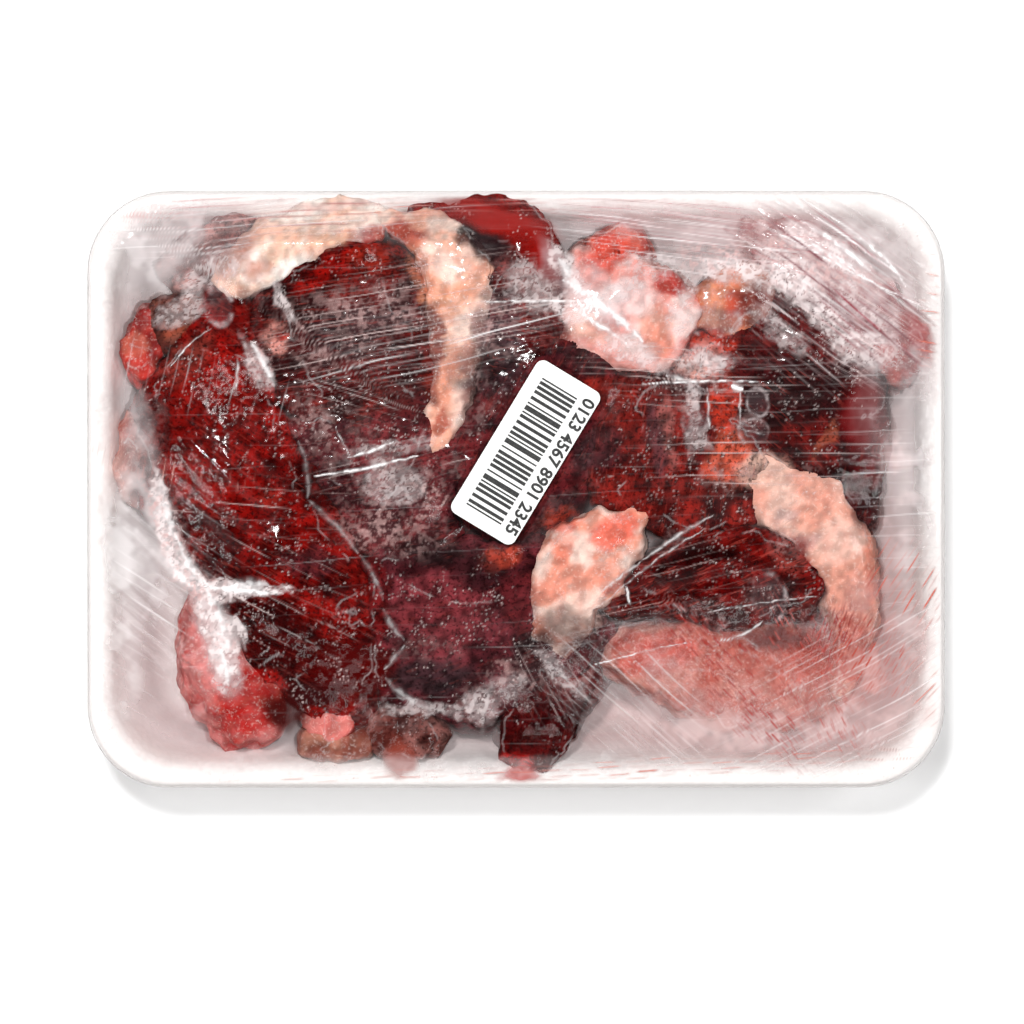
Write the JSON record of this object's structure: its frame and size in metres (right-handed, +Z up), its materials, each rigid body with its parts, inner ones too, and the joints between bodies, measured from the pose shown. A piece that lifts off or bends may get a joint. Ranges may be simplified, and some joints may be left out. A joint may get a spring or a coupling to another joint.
{
  "type": "meat tray pack",
  "caption": "Raw beef trimmings, lean and fat, heaped on a white foam tray and sealed under stretched clear film, with a small bar-coded weight label.",
  "frame": {"origin": "on the surface the pack rests on, below the middle of the tray", "axes": "+X along the tray's length, +Y towards the tray's far long side, +Z up out of the tray"},
  "size_m": [0.2114, 0.1474, 0.0358],
  "materials": {
    "foam_white": "expanded polystyrene foam, white, faint bead pattern, satin skin, pink juice smears under the film",
    "film_clear": "thin clear stretch film, glossy, wrinkled and creased, faintly milky where it bridges",
    "label_paper": "white label paper, semi-matt, black print",
    "lean_red": "wet raw lean beef, deep red",
    "lean_dark": "wet raw lean beef, very dark red, fibres showing",
    "lean_brown": "raw lean beef, purple-brown, duller",
    "fat": "raw beef fat, cream to peach with pink stains",
    "pink_flesh": "fat and lean mixed, pink, wet"
  },
  "bodies": {
    "root": {"foam_tray": "foam_white", "fat_ribbon": "fat", "fat_cap_left": "fat", "fat_nub_centre": "fat", "fat_crescent_right": "fat", "lean_slab_left": "lean_red", "lean_lower_right": "lean_dark", "lean_top_arc": "lean_red", "fat_upper_right": "fat", "fat_spot_right": "fat", "red_nub_top": "pink_flesh", "lean_right": "lean_dark", "lean_folds_top": "lean_red", "lean_under_ribbon": "lean_dark", "lean_under_label": "lean_dark", "lean_centre_right": "lean_dark", "lean_centre_left": "lean_brown", "lean_drop_right": "lean_dark", "lobe_bottom": "lean_dark", "lean_centre_bottom": "lean_brown", "lean_tip_right": "pink_flesh", "membrane_top_right": "pink_flesh", "pink_slab_bottom": "pink_flesh", "pink_chunk_left": "pink_flesh", "red_chunk_left": "pink_flesh", "brown_lump_left": "lean_brown", "grey_lump_top_left": "lean_brown", "pale_lump_left": "pink_flesh", "brown_lump_bottom": "lean_brown", "fat_knob_bottom": "pink_flesh", "fat_slice_bottom": "fat", "film_wrap": "film_clear", "label": "label_paper"}
  },
  "joints": []
}
